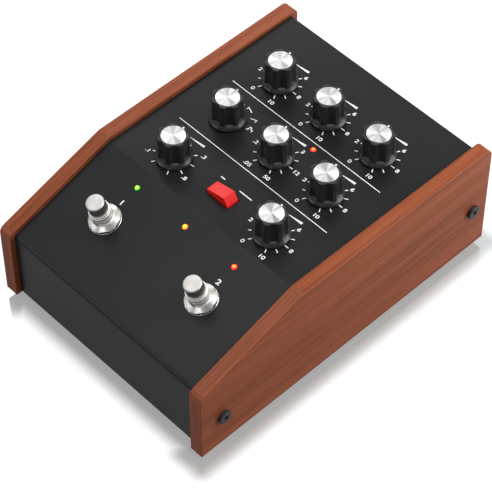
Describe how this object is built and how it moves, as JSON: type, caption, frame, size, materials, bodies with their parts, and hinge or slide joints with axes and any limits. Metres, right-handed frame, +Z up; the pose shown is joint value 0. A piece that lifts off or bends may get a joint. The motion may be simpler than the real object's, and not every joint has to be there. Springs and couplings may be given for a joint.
{
  "type": "analog delay pedal",
  "caption": "Sloped floor effect unit with wooden cheeks, fluted skirted knobs, a rocker, indicator lamps and metal footswitches, with sockets along the rear.",
  "frame": {"origin": "on the floor under the middle of the object", "axes": "+X to the right seen from the front, +Y to the rear, +Z up"},
  "size_m": [0.1578, 0.21, 0.0912],
  "materials": {
    "panel_paint": "fine satin black powder coat",
    "wood": "oiled reddish-brown hardwood, straight grain",
    "black_steel": "blackened steel",
    "plain_steel": "plain bright steel",
    "black_plastic": "moulded matt black plastic",
    "rubber": "matt black rubber",
    "board": "green solder mask",
    "lamp_red": "clear tinted lens",
    "lamp_green": "clear tinted lens",
    "lamp_amber": "clear tinted lens",
    "red_plastic": "bright red moulded plastic",
    "nickel": "polished nickel plate",
    "knob_plastic": "glossy black moulded plastic",
    "spun_aluminium": "spun face with circular turning marks",
    "pin_brass": "plated brass",
    "can_sleeve": "shrunk plastic sleeve",
    "ribbon_grey": "grey flat cable"
  },
  "bodies": {
    "case": {"top_panel": "panel_paint", "base_tray": "panel_paint", "rear_panel": "panel_paint", "left_cheek": "wood", "right_cheek": "wood", "cheek_screws": "black_steel", "cheek_nuts": "plain_steel", "rear_screws": "black_steel", "rubber_feet": "rubber", "control_board": "board", "lamp_board": "board", "main_board": "board", "board_spacers": "plain_steel", "board_screws": "plain_steel", "pot_bodies": "plain_steel", "selector_body": "black_plastic", "bush_nuts": "plain_steel", "rate_lamp": "lamp_red", "time_lamp": "lamp_green", "level_lamp": "lamp_amber", "bypass_lamp": "lamp_red", "rocker_frame": "black_plastic", "footswitch_bodies": "nickel", "footswitch_nuts": "nickel", "lock_washers": "black_steel", "flat_washers": "nickel", "jack_sockets": "black_plastic", "jack_nuts": "nickel", "power_inlet": "black_plastic", "inlet_pin": "pin_brass", "delay_chips": "black_plastic", "capacitors": "can_sleeve", "ribbon_cable": "ribbon_grey"},
    "drive_control": {"drive_knob": "knob_plastic", "drive_disc": "spun_aluminium", "drive_shaft": "plain_steel"},
    "level_control": {"level_knob": "knob_plastic", "level_disc": "spun_aluminium", "level_shaft": "plain_steel"},
    "mix_control": {"mix_knob": "knob_plastic", "mix_disc": "spun_aluminium", "mix_shaft": "plain_steel"},
    "wave_control": {"wave_knob": "knob_plastic", "wave_disc": "spun_aluminium", "wave_shaft": "plain_steel"},
    "rate_control": {"rate_knob": "knob_plastic", "rate_disc": "spun_aluminium", "rate_shaft": "plain_steel"},
    "amount_control": {"amount_knob": "knob_plastic", "amount_disc": "spun_aluminium", "amount_shaft": "plain_steel"},
    "time_control": {"time_knob": "knob_plastic", "time_disc": "spun_aluminium", "time_shaft": "plain_steel"},
    "feedback_control": {"feedback_knob": "knob_plastic", "feedback_disc": "spun_aluminium", "feedback_shaft": "plain_steel"},
    "rocker": {"range_rocker": "red_plastic"},
    "tap_button": {"tap_plunger": "nickel"},
    "bypass_button": {"bypass_plunger": "nickel"}
  },
  "joints": [
    {"name": "drive_turn", "type": "hinge", "parent": "case", "child": "drive_control", "pos_m": [-0.0364, 0.06, 0.0738], "axis": [0, 0, 1], "range_deg": [-150, 150]},
    {"name": "level_turn", "type": "hinge", "parent": "case", "child": "level_control", "pos_m": [0, 0.06, 0.0738], "axis": [0, 0, 1], "range_deg": [-150, 150]},
    {"name": "mix_turn", "type": "hinge", "parent": "case", "child": "mix_control", "pos_m": [0.0364, 0.06, 0.0738], "axis": [0, 0, 1], "range_deg": [-150, 150]},
    {"name": "wave_turn", "type": "hinge", "parent": "case", "child": "wave_control", "pos_m": [-0.0364, 0.0213, 0.0738], "axis": [0, 0, 1], "range_deg": [-75, 75]},
    {"name": "rate_turn", "type": "hinge", "parent": "case", "child": "rate_control", "pos_m": [0, 0.0213, 0.0738], "axis": [0, 0, 1], "range_deg": [-150, 150]},
    {"name": "amount_turn", "type": "hinge", "parent": "case", "child": "amount_control", "pos_m": [0.0364, 0.0213, 0.0738], "axis": [0, 0, 1], "range_deg": [-150, 150]},
    {"name": "time_turn", "type": "hinge", "parent": "case", "child": "time_control", "pos_m": [-0.0364, -0.0174, 0.0738], "axis": [0, 0, 1], "range_deg": [-150, 150]},
    {"name": "feedback_turn", "type": "hinge", "parent": "case", "child": "feedback_control", "pos_m": [0.0364, -0.0174, 0.0738], "axis": [0, 0, 1], "range_deg": [-150, 150]},
    {"name": "rocker_tilt", "type": "hinge", "parent": "case", "child": "rocker", "pos_m": [0.0004, -0.0174, 0.071], "axis": [0, 1, 0], "range_deg": [0, 25]},
    {"name": "tap_press", "type": "slide", "parent": "case", "child": "tap_button", "axis": [0, -0.304, 0.9527], "range_m": [-0.0035, 0], "stiffness_N_per_m": 1500, "springref_m": 0.002},
    {"name": "bypass_press", "type": "slide", "parent": "case", "child": "bypass_button", "axis": [0, -0.304, 0.9527], "range_m": [-0.0035, 0], "stiffness_N_per_m": 1500, "springref_m": 0.002}
  ]
}
